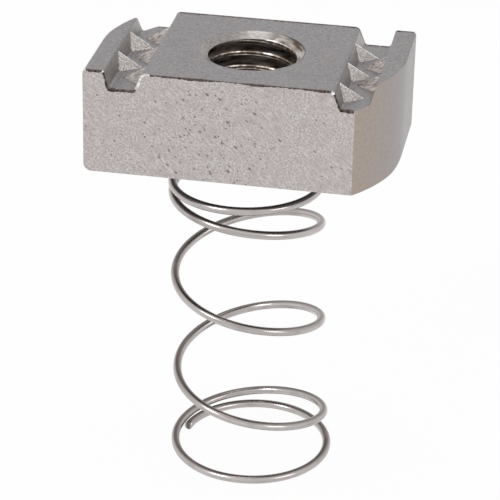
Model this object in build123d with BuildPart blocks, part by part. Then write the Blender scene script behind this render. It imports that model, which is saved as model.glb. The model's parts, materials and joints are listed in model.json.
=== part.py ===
"""Strut spring nut: a toothed M12 channel nut on a long compression spring.

Millimetres, +Z up. The foot of the spring stands on Z = 0 and the thread axis is the Z axis.
X runs along the nut, so the two toothed grooves run along Y.
"""

from math import cos, pi, radians, sin
import os

from build123d import *

# ---- Nut: a rolled bar section, sawn to width, with two corners cropped round ----
nut_width = 20.0                 # along the grooves
nut_height = 12.5
platform_width = 21.8            # raised middle that enters the strut's slot
groove_width = 4.4               # across the mouth of a groove, from platform to end rib
rib_width = 2.4                  # top of the rib that closes each end
groove_depth = 2.1
platform_wall_run = 0.85         # how far the platform's wall slopes out on its way down
rib_wall_run = 0.55              # and the wall of the end rib slopes in
bottom_edge_radius = 0.9
rib_outer_radius = 0.45
rib_inner_radius = 0.4
rib_foot_radius = 0.2
platform_edge_radius = 0.65
platform_foot_radius = 0.4
crop_width = 12.0                # a cropped corner takes this much of the end face
crop_length = 4.35               # and this much of the side face

# ---- Teeth pressed into the two grooves ----
tooth_pitch = 5.95
platform_teeth = 3
tooth_sink = 0.25                # crests start this far below the top faces
tooth_thickness = 1.9            # along the groove, at the floor
tooth_skew = 1.0                 # a crest's far end lies this far back of its near end
tooth_shift = -1.15              # middle platform tooth, from the middle of the nut
rib_tooth_lag = 2.15             # a rib tooth lies this far in front of a platform tooth
tooth_root = 0.1                 # teeth reach this far into the floor and the wall they lean on
tooth_toe_gap = 0.2              # between a crest's low end and the far foot of the groove

# ---- Thread, coarse M12 ----
thread_diameter = 12.0
thread_pitch = 1.75
minor_depth_factor = 1.0825      # minor diameter = diameter - factor * pitch on a metric thread
entry_clearance = 0.2            # the countersunk mouths are this much wider than the thread
entry_angle = 120.0

# ---- Spring: radii are to the middle of the wire, turns count up from the free end at the foot ----
wire_diameter = 1.0
spring_height = 40.0             # free height, foot plane to the underside of the nut
coil_radius = 8.8
foot_flare = 0.65                # the foot ring is this much larger in radius
seat_margin = 0.8                # underside left between the countersink and the seat ring
free_end_angle = 169.0           # where the wire ends at the foot, from +X
free_end_tuck = 1.05             # the end is bent in by this, clear of the turn above it
tuck_turns = 0.4
total_turns = 6.23
foot_turns = 0.76                # flat on the ground
seat_turns = 0.78                # flat under the nut
neck_turns = 0.5                 # steep climb from the closed pair to the seat ring
neck_climb = 3.3
pair_turns = 0.76                # nearly closed turn below the neck
pair_climb = 0.65
active_ease = 0.7                # turns over which the open coils take up their pitch
closed_ease = 0.25               # and over which the closed coils do
foot_offset = 0.8                # the coils lean: centre of the foot ring in X
crown_offset = -0.5              # and centre of the seat ring in X
seat_clearance = 0.05
points_per_turn = 16

# ---- Nibs staked up from the underside, hooked round the seat ring ----
nib_count = 3
nib_start_angle = -40.0          # first nib, from +X; the neck comes in behind it
nib_spacing_angle = -90.0
nib_width = 2.4
nib_thickness = 1.2
nib_hook = 0.3                   # how far a nib's tip reaches in under the wire
nib_clearance = 0.1

# ---- Derived levels and radii ----
wire_radius = wire_diameter / 2
nut_bottom = spring_height
nut_top = nut_bottom + nut_height
groove_floor = nut_top - groove_depth
half_platform = platform_width / 2
half_width = nut_width / 2
rib_start = half_platform + groove_width
half_length = rib_start + rib_width
floor_start = half_platform + platform_wall_run
floor_end = rib_start - rib_wall_run
thread_radius = (thread_diameter - minor_depth_factor * thread_pitch) / 2
entry_radius = (thread_diameter + entry_clearance) / 2
foot_radius = coil_radius + foot_flare
seat_radius = entry_radius + seat_margin + wire_radius
nib_radius = seat_radius + wire_radius + nib_clearance
nib_height = seat_clearance + wire_diameter + nib_clearance
platform_tooth_offsets = [
    tooth_shift + (index - (platform_teeth - 1) / 2) * tooth_pitch for index in range(platform_teeth)
]
rib_tooth_offsets = [offset - rib_tooth_lag for offset in platform_tooth_offsets[1:]]

# Stages of the coil, in turns up the wire
seat_start = total_turns - seat_turns
neck_start = seat_start - neck_turns
pair_start = neck_start - pair_turns
foot_centre_height = wire_radius
seat_centre_height = nut_bottom - seat_clearance - wire_radius
active_climb = seat_centre_height - foot_centre_height - neck_climb - pair_climb
lean = (crown_offset - foot_offset) / spring_height


def ramp(turn, start, end, ease):
    """Climb from 0 at start to 1 at end, at a steady rate with eased ends."""
    if turn <= start:
        return 0.0
    if turn >= end:
        return 1.0
    ease = min(ease, (end - start) / 2)
    steady = end - start - ease
    if turn < start + ease:
        return (turn - start) ** 2 / (2 * ease * steady)
    if turn > end - ease:
        return 1 - (end - turn) ** 2 / (2 * ease * steady)
    return (turn - start - ease / 2) / steady


def wire_point(turn):
    """Middle of the wire, a left-hand coil whose open turns stand square to their leaning axis."""
    angle = radians(free_end_angle) - 2 * pi * turn
    in_neck = ramp(turn, neck_start, seat_start, closed_ease)
    in_pair = ramp(turn, pair_start - closed_ease, neck_start, closed_ease)
    in_coils = ramp(turn, foot_turns, pair_start, active_ease)
    height = foot_centre_height + active_climb * in_coils + pair_climb * in_pair + neck_climb * in_neck
    radius = foot_radius - foot_flare * ramp(turn, foot_turns / 2, 3 * foot_turns, active_ease)
    radius += (seat_radius - coil_radius) * in_neck
    radius -= free_end_tuck * (1 - ramp(turn, 0, tuck_turns, tuck_turns))
    tilt = ramp(turn, foot_turns, foot_turns + 1, active_ease / 2) - in_neck
    x = foot_offset + lean * height + radius * cos(angle)
    return (x, radius * sin(angle), height - tilt * lean * radius * cos(angle))


with BuildPart() as nut:
    # Bar section, drawn for +X and mirrored
    with BuildSketch(Plane.XZ) as bar_section:
        with BuildLine():
            Polyline(
                (0, nut_bottom),
                (half_length, nut_bottom),
                (half_length, nut_top),
                (rib_start, nut_top),
                (floor_end, groove_floor),
                (floor_start, groove_floor),
                (half_platform, nut_top),
                (0, nut_top),
            )
            mirror(about=Plane.YZ)
        make_face()
        for corner_x, corner_z, radius in (
            (half_length, nut_bottom, bottom_edge_radius),
            (half_length, nut_top, rib_outer_radius),
            (rib_start, nut_top, rib_inner_radius),
            (floor_end, groove_floor, rib_foot_radius),
            (floor_start, groove_floor, platform_foot_radius),
            (half_platform, nut_top, platform_edge_radius),
        ):
            corners = bar_section.vertices().filter_by(
                lambda vertex: abs(abs(vertex.X) - corner_x) + abs(vertex.Y - corner_z) < 1e-6)
            fillet(corners, radius)
    extrude(amount=half_width, both=True)

    # Teeth: half pyramids that lean on one wall of a groove, with crests that fall to its other foot
    for side in (-1, 1):
        for wall, far_foot, direction, offsets in (
            (half_platform, floor_end, 1, platform_tooth_offsets),
            (rib_start, floor_start, -1, rib_tooth_offsets),
        ):
            root = side * (wall - direction * tooth_root)
            toe = side * (far_foot - direction * tooth_toe_gap)
            for y in offsets:
                foot_plane = Plane.XY.offset(groove_floor - tooth_root)
                with BuildSketch(foot_plane, mode=Mode.PRIVATE) as tooth_foot:
                    with BuildLine():
                        Polyline(
                            (root, y),
                            (toe, y + tooth_skew),
                            (root, y + tooth_thickness),
                            close=True,
                        )
                    make_face()
                loft([tooth_foot.sketch.face(), Vertex(root, y, nut_top - tooth_sink)])

    # Two opposite corners cropped to an arc that leaves the end face at a tangent
    with BuildSketch(Plane.XY.offset(nut_bottom)) as corner_waste:
        with BuildLine():
            TangentArc(
                (half_length, crop_width - half_width),
                (half_length - crop_length, -half_width),
                tangent=(0, -1),
            )
            Polyline(
                (half_length - crop_length, -half_width),
                (half_length - crop_length, -nut_width),
                (half_length + rib_width, -nut_width),
                (half_length + rib_width, crop_width - half_width),
                (half_length, crop_width - half_width),
            )
        make_face()
        add(corner_waste.sketch.rotate(Axis.Z, 180))
    extrude(amount=nut_height, mode=Mode.SUBTRACT)

    # Tapped hole at its minor diameter, countersunk at both mouths
    with Locations((0, 0, nut_bottom + nut_height / 2)):
        Hole(thread_radius)
    mouths = nut.edges().filter_by(GeomType.CIRCLE).filter_by(
        lambda edge: abs(edge.radius - thread_radius) < 1e-6)
    chamfer(mouths, length=entry_radius - thread_radius, angle=90 - entry_angle / 2)

    # Nibs staked up round the seat ring, which they hold to the underside
    for index in range(nib_count):
        nib_angle = radians(nib_start_angle + index * nib_spacing_angle)
        nib_plane = Plane(
            origin=(crown_offset, 0, nut_bottom),
            x_dir=(cos(nib_angle), sin(nib_angle), 0),
            z_dir=(sin(nib_angle), -cos(nib_angle), 0),
        )
        with BuildSketch(nib_plane) as nib_section:
            with BuildLine():
                Polyline(
                    (nib_radius, nib_clearance),
                    (nib_radius, -seat_clearance - wire_radius),
                    (nib_radius - nib_hook, -nib_height),
                    (nib_radius + nib_clearance, -nib_height),
                    (nib_radius + nib_thickness, 0),
                    (nib_radius + nib_thickness, nib_clearance),
                    close=True,
                )
            make_face()
        extrude(amount=nib_width / 2, both=True)
nut.part.label = "nut"

with BuildPart() as spring:
    with BuildLine() as wire_path:
        point_count = round(total_turns * points_per_turn)
        Spline(*[wire_point(total_turns * index / point_count) for index in range(point_count + 1)])
    with BuildSketch(Plane(wire_path.line @ 0, z_dir=wire_path.line % 0)) as wire_section:
        Circle(wire_radius)
    sweep()
spring.part.label = "spring"

os.makedirs("parts", exist_ok=True)
export_step(nut.part, "parts/nut.step")
export_step(spring.part, "parts/spring.step")
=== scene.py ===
import json
from math import asin, cos, pi, radians, sin, tan

import bmesh
import bpy
from mathutils import Matrix, Vector, noise
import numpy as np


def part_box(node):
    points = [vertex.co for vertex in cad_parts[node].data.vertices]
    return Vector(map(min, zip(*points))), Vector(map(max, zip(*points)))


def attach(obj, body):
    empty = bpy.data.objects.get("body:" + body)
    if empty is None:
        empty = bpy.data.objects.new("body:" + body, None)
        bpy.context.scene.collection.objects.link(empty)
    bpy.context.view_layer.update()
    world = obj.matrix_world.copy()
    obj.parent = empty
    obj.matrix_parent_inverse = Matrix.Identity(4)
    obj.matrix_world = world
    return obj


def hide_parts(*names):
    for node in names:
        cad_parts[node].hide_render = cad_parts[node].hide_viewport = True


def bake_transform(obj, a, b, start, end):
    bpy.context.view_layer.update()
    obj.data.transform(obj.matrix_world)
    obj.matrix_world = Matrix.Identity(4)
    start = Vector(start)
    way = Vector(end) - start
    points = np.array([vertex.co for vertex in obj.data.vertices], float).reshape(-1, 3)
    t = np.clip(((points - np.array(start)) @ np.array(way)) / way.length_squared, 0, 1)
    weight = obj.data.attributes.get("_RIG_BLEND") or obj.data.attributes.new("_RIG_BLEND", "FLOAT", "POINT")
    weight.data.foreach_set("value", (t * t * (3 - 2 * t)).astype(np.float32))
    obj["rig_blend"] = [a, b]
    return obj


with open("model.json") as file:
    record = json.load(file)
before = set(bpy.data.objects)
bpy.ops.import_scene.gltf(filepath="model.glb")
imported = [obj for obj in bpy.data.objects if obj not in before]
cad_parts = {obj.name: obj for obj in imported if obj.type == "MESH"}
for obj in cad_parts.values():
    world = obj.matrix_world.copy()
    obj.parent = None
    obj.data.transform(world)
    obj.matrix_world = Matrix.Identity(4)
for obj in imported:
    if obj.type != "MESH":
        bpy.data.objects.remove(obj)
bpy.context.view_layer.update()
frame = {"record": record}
scene = bpy.context.scene
scene.view_settings.view_transform = "Standard"

# ---- Nut ----
# A length of rolled steel bar, sawn to width and cropped round at two corners. Teeth are pressed
# into its two grooves, an M12 thread is tapped through it, and dull zinc covers it all.
nut_height = 0.0125
groove_depth = 0.0021
burr_height = 0.00002
half_length, half_width, nut_top = Vector(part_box("nut")[1]) - Vector((0, burr_height, burr_height))
nut_bottom = nut_top + burr_height - nut_height
groove_floor = nut_top - groove_depth
platform_edge = 0.0109
floor_start = 0.01175
floor_end = 0.01475
rib_start = 0.0153
bottom_edge_radius = 0.0009
rib_outer_radius = 0.00045
rib_inner_radius = 0.0003
groove_foot_radius = 0.0004
platform_edge_radius = 0.00065
crop_width = 0.012
crop_length = 0.00435
edge_break = 0.0001
crop_edge_break = 0.00022

# Slots of the nut's materials
ROLLED, WALL, SAWN, CROPPED, PRESSED, TORN, TAPPED, CREST, COUNTERSUNK, BURR, PAINTED_GLINT = range(11)


def rounded(corners):
    """Closed outline through corners (across, along, radius), each one rounded to its radius."""
    outline = []
    for index, (across, along, radius) in enumerate(corners):
        corner = Vector((across, along))
        before = (Vector(corners[index - 1][:2]) - corner).normalized()
        after = (Vector(corners[(index + 1) % len(corners)][:2]) - corner).normalized()
        half = before.angle(after) / 2
        centre = corner + (before + after).normalized() * radius / sin(half)
        turn = pi - 2 * half
        start = corner + before * radius / tan(half) - centre
        end = corner + after * radius / tan(half) - centre
        steps = max(1, round(turn / radians(8)))
        for step in range(steps + 1):
            share = step / steps
            swing = (start * sin((1 - share) * turn) + end * sin(share * turn)) / sin(turn)
            outline.append(centre + swing)
    return outline


def prism(outline, place, low, high, slot):
    """Closed bar on an outline; place() sets across, along and level in space."""
    bm = bmesh.new()
    near_end = bm.faces.new([bm.verts.new(place(across, along, low)) for across, along in outline])
    raised = bmesh.ops.extrude_face_region(bm, geom=[near_end], use_keep_orig=True)["geom"]
    bmesh.ops.translate(
        bm, verts=[part for part in raised if isinstance(part, bmesh.types.BMVert)],
        vec=Vector(place(0, 0, high)) - Vector(place(0, 0, low)))
    for face in bm.faces:
        face.material_index = slot
    bmesh.ops.recalc_face_normals(bm, faces=bm.faces)
    return bm


def new_piece(name, bm, materials=()):
    """Turns a bmesh into an object at the origin."""
    mesh = bpy.data.meshes.new(name)
    bm.to_mesh(mesh)
    bm.free()
    for material in materials:
        mesh.materials.append(material)
    piece = bpy.data.objects.new(name, mesh)
    scene.collection.objects.link(piece)
    return piece


def combine(piece, operation, bm):
    """Joins a closed bmesh to a piece, cuts it out or keeps what they share."""
    other = new_piece("other", bm, piece.data.materials)
    modifier = piece.modifiers.new("combine", "BOOLEAN")
    modifier.operation = operation
    modifier.solver = "EXACT"
    modifier.object = other
    with bpy.context.temp_override(object=piece, active_object=piece, selected_objects=[piece]):
        bpy.ops.object.modifier_apply(modifier="combine")
    bpy.data.objects.remove(other)


def break_edges(piece, offset, chosen):
    """Bevels the edges of a piece that chosen() picks."""
    bm = bmesh.new()
    bm.from_mesh(piece.data)
    edges = [edge for edge in bm.edges if len(edge.link_faces) == 2 and chosen(edge)]
    bmesh.ops.bevel(
        bm, geom=edges, offset=offset, offset_type="OFFSET", affect="EDGES", segments=2, profile=0.5,
        material=-1, clamp_overlap=True)
    bm.to_mesh(piece.data)
    bm.free()


def add(material, kind, inputs, **settings):
    """Adds a shader node; each input is a constant or the socket that feeds it."""
    tree = material.node_tree
    node = tree.nodes.new("ShaderNode" + kind)
    for name, value in settings.items():
        setattr(node, name, value)
    for key, value in inputs.items():
        if isinstance(value, bpy.types.NodeSocket):
            tree.links.new(value, node.inputs[key])
        else:
            node.inputs[key].default_value = value
    return node


def speckle(material, at, scale, low, high, detail=3.0, low_value=0.0, high_value=1.0):
    """Noise at a scale per metre, spread so that low..high covers low_value..high_value."""
    grain = add(material, "TexNoise", {"Vector": at, "Scale": scale, "Detail": detail})
    return add(material, "MapRange", {
        "Value": grain.outputs["Fac"], "From Min": low, "From Max": high,
        "To Min": low_value, "To Max": high_value}).outputs[0]


def mixed(material, share, first, second):
    """Colour between first and second."""
    mix = add(material, "MixRGB", {"Fac": share, "Color1": first, "Color2": second})
    return mix.outputs[0]


def steel(name, roughness):
    """An empty metal material, its shader and its object coordinates."""
    material = bpy.data.materials.new(name)
    material.use_nodes = True
    shader = material.node_tree.nodes["Principled BSDF"]
    shader.inputs["Metallic"].default_value = 1.0
    shader.inputs["Roughness"].default_value = roughness
    at = add(material, "TexCoord", {}).outputs["Object"]
    return material, shader, at


def bumped(material, shader, height, distance, strength=1.0):
    """Feeds a height to the shader's normal."""
    bump = add(material, "Bump", {"Height": height, "Distance": distance, "Strength": strength})
    material.node_tree.links.new(bump.outputs[0], shader.inputs["Normal"])


def colour(material, shader, socket):
    """Feeds a colour to the shader."""
    material.node_tree.links.new(socket, shader.inputs["Base Color"])


# Rolled faces: an even dark grey with a fine dull grain
rolled, shader, at = steel("rolled_zinc", 0.5)
grain = speckle(rolled, at, 4200, 0.32, 0.68, 2.0)
tone = mixed(rolled, grain, (0.215, 0.205, 0.21, 1), (0.33, 0.315, 0.32, 1))
warmth = speckle(rolled, at, 420, 0.45, 0.75, high_value=0.4)
colour(rolled, shader, mixed(rolled, warmth, tone, (0.32, 0.285, 0.275, 1)))
bumped(rolled, shader, speckle(rolled, at, 5000, 0.3, 0.7), 0.000012, 0.7)

# The grooves' sloping walls and the end faces: the same skin, painted a little lighter than the top as
# painted light
wall, shader, at = steel("wall_zinc_painted_lighter", 0.45)
tone = mixed(wall, speckle(wall, at, 2500, 0.32, 0.68), (0.33, 0.31, 0.30, 1), (0.46, 0.44, 0.435, 1))
colour(wall, shader, tone)
bumped(wall, shader, speckle(wall, at, 5000, 0.3, 0.7), 0.000012, 0.7)

# Sawn faces: lighter, warmer and coarser, with faint slanting saw lines and pits drawn out along them
sawn, shader, at = steel("sawn_zinc", 0.55)
place = add(sawn, "SeparateXYZ", {0: at}).outputs
flat = add(sawn, "CombineXYZ", {0: place[0], 1: place[2]}).outputs[0]
slanted = add(
    sawn, "VectorRotate", {"Vector": flat, "Angle": radians(42)}, rotation_type="Z_AXIS").outputs[0]
lined = add(sawn, "Mapping", {"Vector": slanted, "Scale": (0.3, 1, 1)}).outputs[0]
drawn_out = add(sawn, "Mapping", {"Vector": slanted, "Scale": (0.55, 1, 1)}).outputs[0]
grain = speckle(sawn, at, 4600, 0.34, 0.66, 2.0)
lines = speckle(sawn, lined, 3600, 0.34, 0.66, 2.0)
field = speckle(sawn, at, 200, 0.42, 0.6, 1.0, 0.05, 0.5)
height = add(sawn, "Mix", {0: field, 2: grain, 3: lines}).outputs[0]
tone = mixed(sawn, height, (0.37, 0.34, 0.33, 1), (0.69, 0.645, 0.635, 1))
stain = speckle(sawn, at, 700, 0.35, 0.7, high_value=0.5)
stained = mixed(sawn, stain, tone, (0.44, 0.395, 0.38, 1))
pitted_place = (-0.003, nut_bottom + 0.005, 0)
patch = add(sawn, "VectorMath", {0: flat, 1: pitted_place}, operation="DISTANCE").outputs["Value"]
ragged = speckle(sawn, at, 300, 0.3, 0.7, 1.0, -0.003, 0.003)
reach = add(sawn, "Math", {0: patch, 1: ragged}, operation="ADD").outputs[0]
crowd = add(sawn, "MapRange", {
    "Value": reach, "From Min": 0.004, "From Max": 0.009, "To Min": 0.7, "To Max": 0.95}).outputs[0]
pits = 0
for size, share in ((1350, 0.08), (2100, 0.0)):
    cells = add(sawn, "TexVoronoi", {"Vector": drawn_out, "Scale": size}, voronoi_dimensions="2D")
    chance = add(sawn, "SeparateColor", {0: cells.outputs["Color"]}).outputs
    edge = add(sawn, "Math", {0: chance[1], 1: 0.12, 2: 0.08}, operation="MULTIPLY_ADD").outputs[0]
    inside = add(sawn, "Math", {0: edge, 1: cells.outputs["Distance"]}, operation="SUBTRACT").outputs[0]
    pit = add(sawn, "MapRange", {"Value": inside, "From Min": -0.05, "From Max": 0.05}).outputs[0]
    level = add(sawn, "Math", {0: crowd, 1: share}, operation="ADD").outputs[0]
    chosen = add(sawn, "Math", {0: chance[0], 1: level}, operation="GREATER_THAN").outputs[0]
    one_size = add(sawn, "Math", {0: pit, 1: chosen}, operation="MULTIPLY").outputs[0]
    pits = add(sawn, "Math", {0: one_size, 1: pits}, operation="MAXIMUM").outputs[0]
dark = add(sawn, "Math", {0: pits, 1: 0.65}, operation="MULTIPLY").outputs[0]
colour(sawn, shader, mixed(sawn, dark, stained, (0.09, 0.065, 0.055, 1)))
sunk = add(sawn, "Math", {0: height, 1: pits}, operation="SUBTRACT").outputs[0]
bumped(sawn, shader, sunk, 0.00002, 0.8)

# Cropped arcs: smooth, with a brown tint painted as a reflection that fades to grey towards the end face
cropped, shader, at = steel("cropped_zinc", 0.42)
place = add(cropped, "SeparateXYZ", {0: at}).outputs
reach = add(cropped, "Math", {0: place[1]}, operation="ABSOLUTE").outputs[0]
brown_tint_and_painted_reflection = add(cropped, "MapRange", {"Value": reach, "From Min": 0.001, "From Max": 0.0095}).outputs[0]
tone = mixed(cropped, brown_tint_and_painted_reflection, (0.36, 0.345, 0.355, 1), (0.425, 0.36, 0.31, 1))
mottle = speckle(cropped, at, 2600, 0.35, 0.7, high_value=0.45)
colour(cropped, shader, mixed(cropped, mottle, tone, (0.31, 0.265, 0.24, 1)))
bumped(cropped, shader, speckle(cropped, at, 4000, 0.3, 0.7), 0.000008, 0.5)

# Pressed teeth: broken crystals, painted lighter as painted light, on the rows whose front facets face
# right;
# dragged and streaky, and painted darker as painted shade, on the others
pressed, shader, at = steel("pressed_zinc_painted_lit", 0.4)
cells = add(pressed, "TexVoronoi", {"Vector": at, "Scale": 5200})
grain_and_painted_sparkle = speckle(pressed, at, 5500, 0.34, 0.72, 1.5)
colour(pressed, shader, mixed(pressed, grain_and_painted_sparkle, (0.28, 0.25, 0.235, 1), (0.55, 0.52, 0.505, 1)))
bumped(pressed, shader, cells.outputs["Distance"], 0.00006, 0.7)

torn, shader, at = steel("torn_zinc_painted_shade", 0.4)
dragged = add(torn, "Mapping", {"Vector": at, "Scale": (0.15, 1, 0.4)}).outputs[0]
streaks = speckle(torn, dragged, 7500, 0.3, 0.7, 2.0)
colour(torn, shader, mixed(torn, streaks, (0.19, 0.16, 0.145, 1), (0.50, 0.465, 0.445, 1)))
bumped(torn, shader, speckle(torn, dragged, 5000, 0.3, 0.7), 0.00003, 0.7)

# Thread: the grooves are painted dark brown, painted shade inside the bore; one side of the mouth is
# painted darker, painted shade; and the crests are painted lighter, a painted highlight along them
tapped, shader, at = steel("tapped_steel_painted_shade", 0.3)
turned = add(tapped, "Mapping", {"Vector": at, "Scale": (0.12, 0.12, 1)}).outputs[0]
cuts = speckle(tapped, turned, 3600, 0.36, 0.62, 2.0)
tone = mixed(tapped, cuts, (0.10, 0.070, 0.052, 1), (0.47, 0.43, 0.40, 1))
colour(tapped, shader, tone)
bumped(tapped, shader, cuts, 0.00002, 0.6)

crest, shader, at = steel("thread_crest_painted_highlight", 0.3)
tone = mixed(crest, speckle(crest, at, 1500, 0.4, 0.62), (0.25, 0.20, 0.165, 1), (0.72, 0.67, 0.62, 1))
colour(crest, shader, tone)
bumped(crest, shader, speckle(crest, at, 5000, 0.3, 0.7), 0.00001, 0.6)

countersunk, shader, at = steel("countersunk_zinc", 0.35)
turned = add(countersunk, "Mapping", {"Vector": at, "Scale": (0.15, 0.15, 1)}).outputs[0]
rings = speckle(countersunk, turned, 12000, 0.3, 0.7)
tone = mixed(countersunk, rings, (0.20, 0.18, 0.17, 1), (0.37, 0.35, 0.34, 1))
# Painted shade: the mouth is coloured darker towards +X, where a lamp's highlight falls
across = add(countersunk, "SeparateXYZ", {0: at}).outputs[0]
painted_shade_share = add(countersunk, "MapRange", {"Value": across, "From Min": 0.0005, "From Max": 0.004}).outputs[0]
colour(countersunk, shader, mixed(countersunk, painted_shade_share, tone, (0.14, 0.128, 0.122, 1)))
bumped(countersunk, shader, speckle(countersunk, turned, 9000, 0.3, 0.7), 0.00001, 0.6)

# Burrs: dark brown metal, partly their own oxide and partly painted shade under the lip, with a few painted
# highlights
burred, shader, at = steel("burr_metal", 0.35)
oxide_and_painted_shade = speckle(burred, at, 2500, 0.35, 0.65)
tone = mixed(burred, oxide_and_painted_shade, (0.035, 0.025, 0.022, 1), (0.17, 0.13, 0.115, 1))
painted_specks = speckle(burred, at, 1300, 0.7, 0.76, 1.0)
colour(burred, shader, mixed(burred, painted_specks, tone, (0.7, 0.68, 0.67, 1)))

# Painted highlights: a near-white colour for the burr's corners, one groove wall and the teeth's crests
painted_glint, shader, at = steel("burr_painted_glint", 0.2)
tone = mixed(painted_glint, speckle(painted_glint, at, 3000, 0.3, 0.6), (0.35, 0.33, 0.32, 1), (0.98, 0.98, 0.98, 1))
colour(painted_glint, shader, tone)

nut_materials = [rolled, wall, sawn, cropped, pressed, torn, tapped, crest, countersunk, burred, painted_glint]

# The rolled bar's section, cut by the saw and the crop
right_section = [
    (half_length, nut_bottom, bottom_edge_radius),
    (half_length, nut_top, rib_outer_radius),
    (rib_start, nut_top, rib_inner_radius),
    (floor_end, groove_floor, groove_foot_radius),
    (floor_start, groove_floor, groove_foot_radius),
    (platform_edge, nut_top, platform_edge_radius),
]
section = rounded(right_section + [(-x, z, radius) for x, z, radius in reversed(right_section)])
crop_radius = (crop_width ** 2 + crop_length ** 2) / (2 * crop_length)
crop_turn = asin(crop_width / crop_radius)
crop_steps = 40
crop_arc = [
    Vector((
        half_length - crop_radius + crop_radius * cos(crop_turn * step / crop_steps),
        crop_width - half_width - crop_radius * sin(crop_turn * step / crop_steps),
    ))
    for step in range(crop_steps + 1)
]
plan = []
for turn in (1, -1):
    plan += [turn * point for point in crop_arc] + [turn * Vector((-half_length, -half_width))]
nut = new_piece("nut_body", prism(
    section, lambda x, z, y: (x, y, z), -1.2 * half_width, 1.2 * half_width, ROLLED), nut_materials)
for face in nut.data.polygons:
    if abs(face.normal.x) > 0.9:
        face.material_index = WALL
cut_bm = prism(plan, lambda x, y, z: (x, y, z), nut_bottom - 0.001, nut_top + 0.001, SAWN)
for face in cut_bm.faces:
    if min(abs(face.normal.x), abs(face.normal.y)) > 0.001:
        face.material_index = CROPPED
corner_edges = [
    edge for edge in cut_bm.edges
    if edge.calc_face_angle(0) > radians(30) and abs(edge.verts[0].co.z - edge.verts[1].co.z) > 0.01
    and abs(edge.verts[0].co.x) < half_length - 0.001
]
bmesh.ops.bevel(
    cut_bm, geom=corner_edges, offset=crop_edge_break, offset_type="OFFSET", affect="EDGES", segments=4,
    profile=0.5, material=-1)
combine(nut, "INTERSECT", cut_bm)
break_edges(nut, edge_break, lambda edge: (
    edge.calc_face_angle(0) > radians(25)
    and len({face.material_index == ROLLED for face in edge.link_faces}) == 2))

# Teeth: half pyramids against one wall of a groove, with a low ramp in front of each. Their
# crests fall to the groove's other foot. A row is the side it is on, its wall's top and foot, the
# crest's low end, the lean of its high end, its places along the groove and its slot.
tooth_thickness = 0.0019
tooth_skew = 0.001
tooth_ramp = 0.0009
tooth_ramp_height = 0.00045
tooth_root = 0.0001
tooth_sink = 0.00008
tooth_crest = 0.00016
tooth_rows = (
    # Each row's slot paints it lighter (PRESSED) or darker (TORN) by the way its facets face: painted light
    # and shade
    (1, platform_edge, floor_start, 0.01425, 0.0009, (-0.0073, -0.00115, 0.0049), PRESSED),
    (1, rib_start, floor_end, 0.01205, 0.0004, (-0.0035, 0.0020), TORN),
    (-1, platform_edge, floor_start, 0.0143, 0.0009, (-0.0073, -0.00115, 0.0049), TORN),
    (-1, rib_start, floor_end, 0.01185, 0.0012, (-0.0041, 0.0021), PRESSED),
)
for side, top_x, foot_x, toe_x, lean, places, slot in tooth_rows:
    inward = tooth_root if top_x > foot_x else -tooth_root
    share = tooth_ramp_height / (nut_top - groove_floor)
    ramp_x = foot_x + (top_x - foot_x) * share
    for y in places:
        apex = (top_x + 1.5 * inward, y + lean, nut_top - tooth_sink)
        ridge = (ramp_x + inward, y, groove_floor + tooth_ramp_height)
        front = (foot_x + inward, y - tooth_ramp, groove_floor - tooth_root)
        rear = (foot_x + inward, y + tooth_thickness, groove_floor - tooth_root)
        toe = (toe_x, y + tooth_skew, groove_floor - tooth_root)
        tooth_bm = bmesh.new()
        verts = [
            tooth_bm.verts.new((side * x, along, z)) for x, along, z in (apex, ridge, front, rear, toe)]
        for corners in ((0, 1, 4), (1, 2, 4), (0, 4, 3), (2, 3, 4), (0, 3, 2, 1)):
            tooth_bm.faces.new([verts[corner] for corner in corners]).material_index = slot
        bmesh.ops.recalc_face_normals(tooth_bm, faces=tooth_bm.faces)
        crest_edge = tooth_bm.edges.get((verts[0], verts[4]))
        crest_faces = bmesh.ops.bevel(
            tooth_bm, geom=[crest_edge], offset=tooth_crest, offset_type="OFFSET", affect="EDGES",
            segments=1, profile=0.5, material=-1)["faces"]
        # The crest bevels of the lighter rows take the painted highlight colour
        for face in crest_faces:
            face.material_index = PAINTED_GLINT if slot == PRESSED else TORN
        combine(nut, "UNION", tooth_bm)

# The bored hole and its two countersunk mouths, turned round the thread's axis
thread_mount = next(mount for mount in frame["record"]["mounts"] if mount["name"] == "thread")
thread_radius = 0.006
thread_pitch = 0.00175
minor_radius = thread_mount["dims"]["r_mm"] / 1000
mouth_clearance = 0.0001
mouth_radius = thread_radius + mouth_clearance
mouth_flare = tan(radians(60))
mouth_depth = (mouth_radius - minor_radius) / mouth_flare
bore_steps = 160
bore_bm = bmesh.new()
spare = 0.0002
bore_profile = (
    (0, nut_bottom - spare), (mouth_radius + spare * mouth_flare, nut_bottom - spare),
    (minor_radius, nut_bottom + mouth_depth), (minor_radius, nut_top - mouth_depth),
    (mouth_radius + spare * mouth_flare, nut_top + spare), (0, nut_top + spare))
verts = [bore_bm.verts.new((radius, 0, level)) for radius, level in bore_profile]
edges = [bore_bm.edges.new(pair) for pair in zip(verts, verts[1:])]
bmesh.ops.spin(
    bore_bm, geom=edges, cent=(0, 0, 0), axis=(0, 0, 1), dvec=(0, 0, 0), angle=2 * pi, steps=bore_steps,
    use_merge=True, use_duplicate=False)
bmesh.ops.remove_doubles(bore_bm, verts=bore_bm.verts, dist=1e-8)
bmesh.ops.recalc_face_normals(bore_bm, faces=bore_bm.faces)
for face in bore_bm.faces:
    face.material_index = CREST if abs(face.normal.z) < 0.1 else COUNTERSUNK
combine(nut, "DIFFERENCE", bore_bm)

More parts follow.
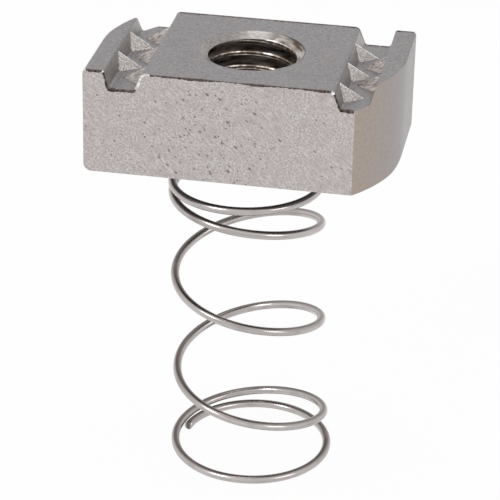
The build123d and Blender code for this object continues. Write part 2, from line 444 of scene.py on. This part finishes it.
# The tap: one V groove that climbs through the nut, with worn edges to its crests. Its profile is
# drawn as radii and shares of the pitch, from the lower half up.
tap_steps = 96
tap_lead = 1.035
crest_wear = 0.00006
tap_bm = bmesh.new()
half_profile = (
    (minor_radius - 0.0003, 0.43), (minor_radius, 0.43), (minor_radius + crest_wear, 0.36),
    (thread_radius, 0.0625))
groove_profile = [(radius, -share) for radius, share in half_profile] + list(reversed(half_profile))
tap_turns = (nut_top - nut_bottom) / thread_pitch + 2
tap_face = tap_bm.faces.new([
    tap_bm.verts.new((radius, 0, nut_bottom + (share - tap_lead) * thread_pitch))
    for radius, share in groove_profile])
bmesh.ops.spin(
    tap_bm, geom=[tap_face], cent=(0, 0, 0), axis=(0, 0, 1), dvec=(0, 0, thread_pitch / tap_steps),
    angle=2 * pi * tap_turns, steps=round(tap_steps * tap_turns), use_merge=False, use_duplicate=False)
bmesh.ops.recalc_face_normals(tap_bm, faces=tap_bm.faces)
for face in tap_bm.faces:
    near_axis = face.calc_center_median().xy.length < minor_radius + crest_wear
    face.material_index = CREST if near_axis else TAPPED
combine(nut, "DIFFERENCE", tap_bm)

# Nibs: staked up from the underside and hooked round the spring's last ring
nib_outline = (
    (0.0080, 0.0001), (0.0080, -0.00055), (0.0077, -0.00115), (0.0081, -0.00115), (0.0092, 0),
    (0.0092, 0.0001))
nib_half_width = 0.0012
crown_offset = -0.0005
for nib_angle in (-40, -130, -220):
    ahead = Vector((cos(radians(nib_angle)), sin(radians(nib_angle))))
    combine(nut, "UNION", prism(nib_outline, lambda reach, level, across: (
        crown_offset + reach * ahead.x - across * ahead.y,
        reach * ahead.y + across * ahead.x,
        nut_bottom + level,
    ), -nib_half_width, nib_half_width, ROLLED))

# Burrs: the ragged lip that the saw leaves along the top edge of each sawn face
burr_radius = 0.0002
burr_swell, swell_length = 0.0003, 0.0028
burr_jag, jag_length = 0.00012, 0.00025
# Widening on the groove floors is a painted shadow below their front edges
burr_floor_painted_shadow = 0.00012
burr_back_spread = 0.0002
burr_thinnest = 0.00004
burr_step = 0.0001
burr_sides = 8
painted_glint_start, painted_glint_end = -0.0117, -0.0100
crop_start = half_length - crop_length
outline = [Vector((crop_start, groove_floor))] + [
    point for point in section
    if burr_step - half_length < point.x < crop_start and point.y > groove_floor - 0.000001]
burr_bm = bmesh.new()
burr_bm.from_mesh(nut.data)
for turn in (1, -1):
    points = []
    for start, end in zip(outline, outline[1:]):
        count = max(1, round((end - start).length / burr_step))
        points += [start.lerp(end, step / count) for step in range(count)]
    rings = []
    run = 0.0
    for before, point, after in zip(points, points[1:], points[2:]):
        run += (point - before).length
        course = (after - before).normalized()
        outward = Vector((course.y, -course.x))
        swell = noise.noise(Vector((run / swell_length, 5.3 * turn, 0.5)))
        jag = noise.noise(Vector((run / jag_length, 0.5, 7.7 * turn)))
        on_floor = point.y < groove_floor + 0.0001
        on_top = point.y > nut_top - 0.00001
        # Corners and one groove wall take the painted highlight colour
        on_corner = point.y > nut_top - 0.0003 and 0.2 < abs(outward.x) < 0.85
        on_painted_glint_wall = painted_glint_start < point.x < painted_glint_end and not on_floor
        painted_glint_here = turn > 0 and (on_painted_glint_wall or on_corner)
        spread = burr_floor_painted_shadow * on_floor + burr_back_spread * (turn < 0 and on_top)
        radius = max(burr_thinnest, burr_radius + spread + burr_swell * swell + burr_jag * jag)
        ring = []
        for step in range(burr_sides):
            around = 2 * pi * step / burr_sides
            rise = min(burr_height, radius * cos(around) - burr_height)
            reach = min(burr_height, radius * sin(around) - burr_height)
            spot = point + outward * rise
            ring.append(burr_bm.verts.new((turn * spot.x, -turn * (half_width + reach), spot.y)))
        rings.append((ring, PAINTED_GLINT if painted_glint_here else BURR))
    for (lower, _), (higher, slot) in zip(rings, rings[1:]):
        for step in range(burr_sides):
            face = burr_bm.faces.new((lower[step - 1], lower[step], higher[step], higher[step - 1]))
            face.material_index = slot
    for ring, _ in (rings[0], rings[-1]):
        burr_bm.faces.new(ring).material_index = BURR
burr_faces = [face for face in burr_bm.faces if face.material_index >= BURR]
bmesh.ops.recalc_face_normals(burr_bm, faces=burr_faces)
burr_bm.to_mesh(nut.data)
burr_bm.free()

nut.data.shade_smooth()
nut.data.set_sharp_from_angle(angle=radians(24))
weighted = nut.modifiers.new("weighted", "WEIGHTED_NORMAL")
weighted.keep_sharp = True
weighted.weight = 100
with bpy.context.temp_override(object=nut, active_object=nut, selected_objects=[nut]):
    bpy.ops.object.modifier_apply(modifier="weighted")
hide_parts("nut")
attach(nut, "nut")

# ---- Spring ----
# Left-hand compression spring of hard-drawn 1 mm wire, with a flat foot a little wider than its
# coils and closed last turns that narrow to the ring which the nut's nibs hold. The wire is painted
# light on its inner and outer faces and dark above and below, a painted reflection along its edges.
wire_radius = 0.0005
foot_radius, coil_radius, seat_radius = 0.00945, 0.0088, 0.0074
seat_clearance = 0.00005
foot_centre, seat_centre = wire_radius, nut_bottom - seat_clearance - wire_radius
foot_end, pair_start, neck_start, seat_start, total_turns = 0.76, 4.19, 4.95, 5.45, 6.23
free_end_angle = radians(169)
free_end_tuck = 0.00105
tuck_turns = 0.4
neck_climb = 0.0033
pair_climb = 0.00065
active_ease = 0.7
closed_ease = 0.25
foot_offset = 0.0008
lean = (crown_offset - foot_offset) / nut_bottom
rings_per_turn = 72
ring_points = 20


def ramp(turn, start, end, ease):
    """Climb from 0 at start to 1 at end, at a steady rate with eased ends."""
    if turn <= start:
        return 0.0
    if turn >= end:
        return 1.0
    ease = min(ease, (end - start) / 2)
    steady = end - start - ease
    if turn < start + ease:
        return (turn - start) ** 2 / (2 * ease * steady)
    if turn > end - ease:
        return 1 - (end - turn) ** 2 / (2 * ease * steady)
    return (turn - start - ease / 2) / steady


def wire_centre(turn):
    """Middle of the wire, a number of turns up from the free end at the foot."""
    angle = free_end_angle - 2 * pi * turn
    in_neck = ramp(turn, neck_start, seat_start, closed_ease)
    in_pair = ramp(turn, pair_start - closed_ease, neck_start, closed_ease)
    in_coils = ramp(turn, foot_end, pair_start, active_ease)
    coil_climb = seat_centre - foot_centre - neck_climb - pair_climb
    height = foot_centre + coil_climb * in_coils + pair_climb * in_pair + neck_climb * in_neck
    past_foot = ramp(turn, foot_end / 2, 3 * foot_end, active_ease)
    radius = foot_radius - (foot_radius - coil_radius) * past_foot + (seat_radius - coil_radius) * in_neck
    radius -= free_end_tuck * (1 - ramp(turn, 0, tuck_turns, tuck_turns))
    tilt = ramp(turn, foot_end, foot_end + 1, active_ease / 2) - in_neck
    x = foot_offset + lean * height + radius * cos(angle)
    return Vector((x, radius * sin(angle), height - tilt * lean * radius * cos(angle)))


spring_bm = bmesh.new()
along = spring_bm.verts.layers.float_vector.new("along_wire")
ring_count = round(total_turns * rings_per_turn)
turns = [total_turns * index / ring_count for index in range(ring_count + 1)]
centres = [wire_centre(turn) for turn in turns]
rings = []
length = 0.0
for index, (turn, centre) in enumerate(zip(turns, centres)):
    before, after = centres[max(index - 1, 0)], centres[min(index + 1, ring_count)]
    tangent = (after - before).normalized()
    angle = free_end_angle - 2 * pi * turn
    outward = Vector((cos(angle), sin(angle), 0))
    outward = (outward - tangent * outward.dot(tangent)).normalized()
    upward = tangent.cross(outward)
    length += (centre - before).length
    ring = []
    for point in range(ring_points):
        around = 2 * pi * point / ring_points
        vert = spring_bm.verts.new(centre + wire_radius * (outward * cos(around) + upward * sin(around)))
        vert[along] = (cos(around) * wire_radius, sin(around) * wire_radius, length)
        ring.append(vert)
    rings.append(ring)
for lower, higher in zip(rings, rings[1:]):
    for point in range(ring_points):
        spring_bm.faces.new((lower[point - 1], lower[point], higher[point], higher[point - 1]))
end_faces = [spring_bm.faces.new(rings[0]), spring_bm.faces.new(rings[-1])]
bmesh.ops.recalc_face_normals(spring_bm, faces=spring_bm.faces)
for face in spring_bm.faces:
    face.smooth = face not in end_faces

wire, shader, _ = steel("drawn_wire", 0.22)
drawn = add(wire, "Attribute", {}, attribute_name="along_wire").outputs["Vector"]
lines = add(wire, "Mapping", {"Vector": drawn, "Scale": (1, 1, 0.02)}).outputs[0]
across = add(wire, "SeparateXYZ", {0: drawn}).outputs[0]
reach = add(wire, "Math", {0: across}, operation="ABSOLUTE").outputs[0]
# Painted reflection: dark where the wire's surface turns up or down, light where it faces in or out
painted_light_share = add(wire, "MapRange", {
    "Value": reach, "From Min": 0.3 * wire_radius, "From Max": 0.85 * wire_radius}).outputs[0]
painted_edge_shade_tone = mixed(wire, painted_light_share, (0.095, 0.078, 0.072, 1), (0.56, 0.525, 0.515, 1))
streaks = speckle(wire, lines, 5000, 0.35, 0.65, high_value=0.5)
tone = mixed(wire, streaks, painted_edge_shade_tone, (0.27, 0.235, 0.225, 1))
stain = speckle(wire, drawn, 350, 0.5, 0.75, high_value=0.5)
colour(wire, shader, mixed(wire, stain, tone, (0.27, 0.23, 0.21, 1)))
bumped(wire, shader, speckle(wire, lines, 7000, 0.3, 0.7, 1.0), 0.000004, 0.5)
spring = new_piece("spring_coil", spring_bm, [wire])

# The open turns close up as the nut is pressed down; the foot stays and the top turns ride with it
joints = frame["record"]["behaviour"]["joints"]
travel = next(joint for joint in joints if joint["name"] == "nut_press")["range_m"][1]
closed_pitch = (wire_centre(pair_start).z - travel - foot_centre) / (pair_start - foot_end)
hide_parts("spring")
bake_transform(spring, "spring", "nut", start=(0, 0, foot_centre), end=(0, 0, seat_centre))
shares = spring.data.attributes["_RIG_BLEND"].data
for index, (turn, centre) in enumerate(zip(turns, centres)):
    closed_height = foot_centre + closed_pitch * (turn - foot_end)
    share = min(max((centre.z - closed_height) / travel, 0), 1)
    if turn <= foot_end:
        share = 0
    elif turn >= pair_start:
        share = 1
    for point in range(ring_points):
        shares[index * ring_points + point].value = share

# ---- Camera ----
# A long lens in front of the nut, a little to its right and well above it, rolled slightly.
camera_azimuth = radians(9.797)
camera_elevation = radians(26.638)
camera_roll = radians(1.302)
camera_distance = 0.27988
camera_shift = (-0.000349, -0.022961)
back = Vector((
    sin(camera_azimuth) * cos(camera_elevation),
    -cos(camera_azimuth) * cos(camera_elevation),
    sin(camera_elevation),
))
level = Vector((cos(camera_azimuth), sin(camera_azimuth), 0))
upright = back.cross(level)
right = cos(camera_roll) * level + sin(camera_roll) * upright
up = cos(camera_roll) * upright - sin(camera_roll) * level
place = Vector((0, 0, nut_top)) + back * camera_distance + right * camera_shift[0] + up * camera_shift[1]
camera_data = bpy.data.cameras.new("camera")
camera_data.lens = 175.3
camera_data.sensor_width = 36
camera_data.clip_start = 0.01
camera = bpy.data.objects.new("camera", camera_data)
scene.collection.objects.link(camera)
camera.matrix_world = Matrix((
    (right.x, up.x, back.x, place.x),
    (right.y, up.y, back.y, place.y),
    (right.z, up.z, back.z, place.z),
    (0, 0, 0, 1),
))
scene.camera = camera


# ---- Floor, background and lamps ----
def area_lamp(name, place, size, power):
    """A soft square lamp that faces the middle of the object."""
    data = bpy.data.lights.new(name, "AREA")
    data.size = size
    data.energy = power
    lamp = bpy.data.objects.new(name, data)
    scene.collection.objects.link(lamp)
    target = Vector((0, 0, 0.03))
    lamp.location = place
    lamp.rotation_euler = (target - Vector(place)).to_track_quat("-Z", "Y").to_euler()


def seen_rays(material):
    """1 for the rays that show the background, straight or by way of metal, and 0 for all others."""
    rays = add(material, "LightPath", {}).outputs
    seen = rays["Is Camera Ray"]
    for kind in ("Is Glossy Ray", "Is Transmission Ray"):
        seen = add(material, "Math", {0: seen, 1: rays[kind]}, operation="MAXIMUM").outputs[0]
    return seen


# A pale floor and an even studio, both seen as plain white, and three soft lamps
floor_bm = bmesh.new()
bmesh.ops.create_grid(floor_bm, x_segments=1, y_segments=1, size=2.0)
pale_floor = bpy.data.materials.new("pale_floor")
pale_floor.use_nodes = True
shader = pale_floor.node_tree.nodes["Principled BSDF"]
shader.inputs["Base Color"].default_value = (0.8, 0.8, 0.8, 1)
shader.inputs["Roughness"].default_value = 0.9
share = add(pale_floor, "Math", {0: seen_rays(pale_floor), 1: 0.96}, operation="MULTIPLY").outputs[0]
glow = add(pale_floor, "Emission", {}).outputs[0]
floor_mix = add(pale_floor, "MixShader", {0: share, 1: shader.outputs[0], 2: glow})
tree = pale_floor.node_tree
tree.links.new(floor_mix.outputs[0], tree.nodes["Material Output"].inputs[0])
floor = new_piece("floor", floor_bm, [pale_floor])

world = bpy.data.worlds.new("studio")
scene.world = world
world.use_nodes = True
studio = world.node_tree.nodes["Background"]
studio.inputs["Color"].default_value = (0.8, 0.8, 0.8, 1)
studio.inputs["Strength"].default_value = 0.8
white = add(world, "Background", {"Color": (1, 1, 1, 1)}).outputs[0]
world_mix = add(world, "MixShader", {0: seen_rays(world), 1: studio.outputs[0], 2: white})
world.node_tree.links.new(world_mix.outputs[0], world.node_tree.nodes["World Output"].inputs[0])

area_lamp("key", (-0.35, -0.45, 0.45), 0.2, 1.2)
area_lamp("fill", (0.5, -0.3, 0.25), 0.25, 0.5)
area_lamp("overhead", (-0.05, 0.0, 0.55), 0.2, 0.35)
